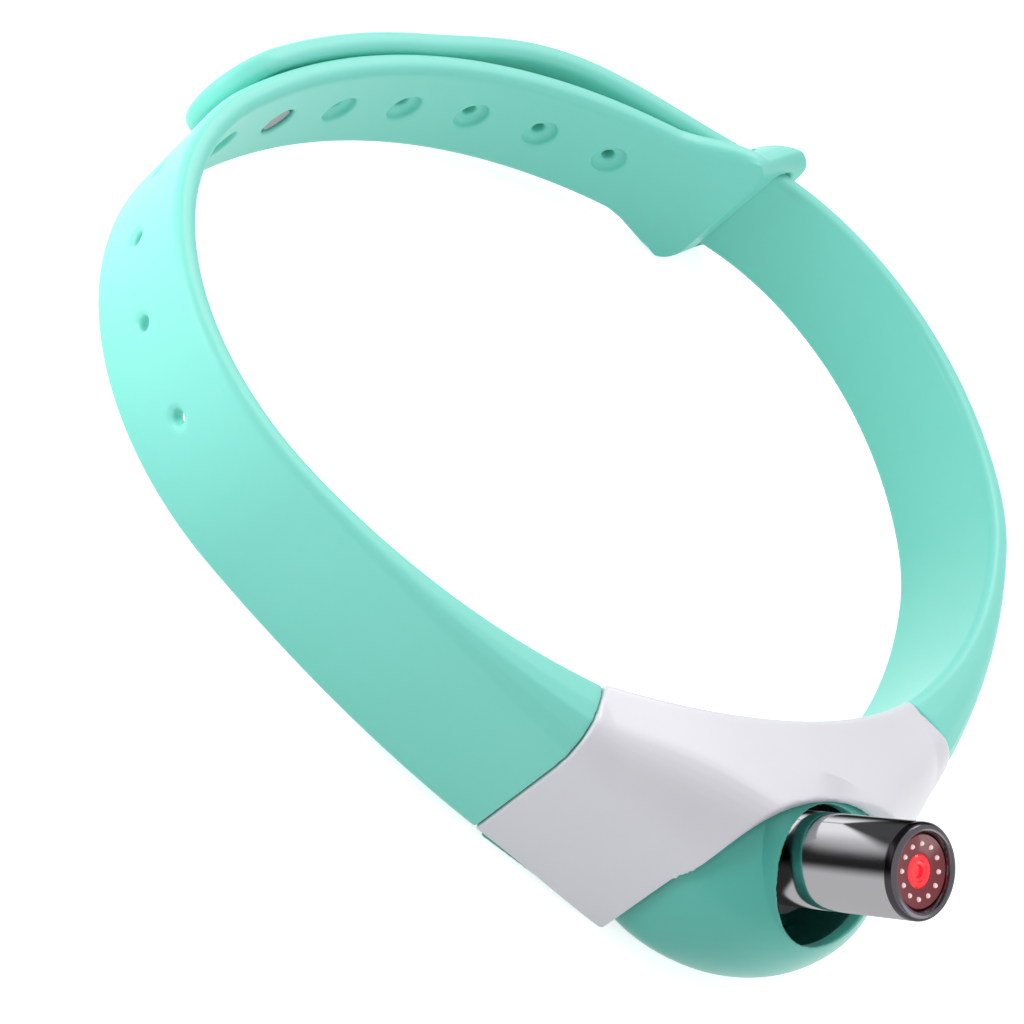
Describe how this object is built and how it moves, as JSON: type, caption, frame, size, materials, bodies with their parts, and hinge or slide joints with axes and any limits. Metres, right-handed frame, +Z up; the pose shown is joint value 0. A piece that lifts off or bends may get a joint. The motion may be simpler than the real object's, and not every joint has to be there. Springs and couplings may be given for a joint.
{
  "type": "cat laser collar",
  "caption": "Silicone cat collar with a pod that swings a small laser barrel in a round window.",
  "frame": {"origin": "centre of the bounding box, on the plane the collar rests on", "axes": "+Z up along the axis of the neck loop; -Y from the loop to the pod and laser barrel; X across, the pod is symmetric about x = 0"},
  "size_m": [0.1008, 0.099, 0.0283],
  "materials": {
    "silicone_mint": "matt, smooth",
    "shell_white": "satin moulded",
    "shell_mint": "satin moulded",
    "tube_bright": "bright plated",
    "bezel_dark": "dark plated",
    "ring_red": "gloss",
    "lens_red": "clear red",
    "brass_turned": "turned",
    "steel_bright": "satin",
    "gear_natural": "moulded, natural",
    "frame_grey": "moulded",
    "board_green": "solder mask",
    "chip_black": "moulded",
    "cell_silver": "laminate pouch",
    "button_white": "satin moulded",
    "plug_mint": "matt",
    "pipe_clear": "clear moulded",
    "lead_red": "insulated wire"
  },
  "bodies": {
    "collar": {"strap_left": "silicone_mint", "strap_right": "silicone_mint", "strap_pins": "steel_bright", "pod_cover": "shell_white", "pod_housing": "shell_mint", "cover_screws": "steel_bright", "idler_pin": "steel_bright", "motor_can": "steel_bright", "swing_frame": "frame_grey", "frame_screws": "steel_bright", "circuit_board": "board_green", "control_chip": "chip_black", "battery": "cell_silver", "usb_socket": "steel_bright", "tact_switch": "chip_black", "status_led": "pipe_clear", "light_pipe": "pipe_clear", "laser_leads": "lead_red", "motor_leads": "lead_red", "battery_leads": "lead_red"},
    "tail": {"strap_tail": "silicone_mint", "strap_stud": "steel_bright"},
    "laser": {"laser_tube": "tube_bright", "tube_bezel": "bezel_dark", "focus_ring": "ring_red", "laser_lens": "lens_red", "laser_module": "brass_turned", "swing_cradle": "frame_grey", "trunnion_pins": "steel_bright", "sector_gear": "gear_natural"},
    "idler": {"idler_gear": "gear_natural"},
    "rotor": {"motor_pinion": "brass_turned", "motor_shaft": "steel_bright"},
    "button": {"button_cap": "button_white"},
    "plug": {"port_plug": "plug_mint"}
  },
  "joints": [
    {"name": "laser_swing", "type": "hinge", "parent": "collar", "child": "laser", "pos_m": [0, -0.03605, 0.0099], "axis": [1, 0, 0], "range_deg": [-2, 18], "deforming": ["laser_leads"]},
    {"name": "idler_spin", "type": "hinge", "parent": "collar", "child": "idler", "pos_m": [0, -0.03198, 0.00583], "axis": [1, 0, 0], "range_deg": [-64.8, 7.2]},
    {"name": "motor_spin", "type": "hinge", "parent": "collar", "child": "rotor", "pos_m": [0, -0.03045, 0.00898], "axis": [1, 0, 0], "range_deg": [-18, 162]},
    {"name": "button_press", "type": "slide", "parent": "collar", "child": "button", "axis": [0, 0, 1], "range_m": [0, 0.00025], "stiffness_N_per_m": 800},
    {"name": "plug_open", "type": "hinge", "parent": "collar", "child": "plug", "pos_m": [-0.01687, -0.02533, 0.00355], "axis": [0, 0, 1], "range_deg": [0, 110]},
    {"name": "tail_lift", "type": "hinge", "parent": "collar", "child": "tail", "pos_m": [-0.0097, 0.047, 0.0084], "axis": [0, 0, -1], "range_deg": [0, 25], "stiffness_Nm_per_rad": 0.01}
  ],
  "couplings": [
    {"joint": "idler_spin", "follows": "laser_swing", "ratio": -3.6},
    {"joint": "motor_spin", "follows": "laser_swing", "ratio": 9}
  ]
}
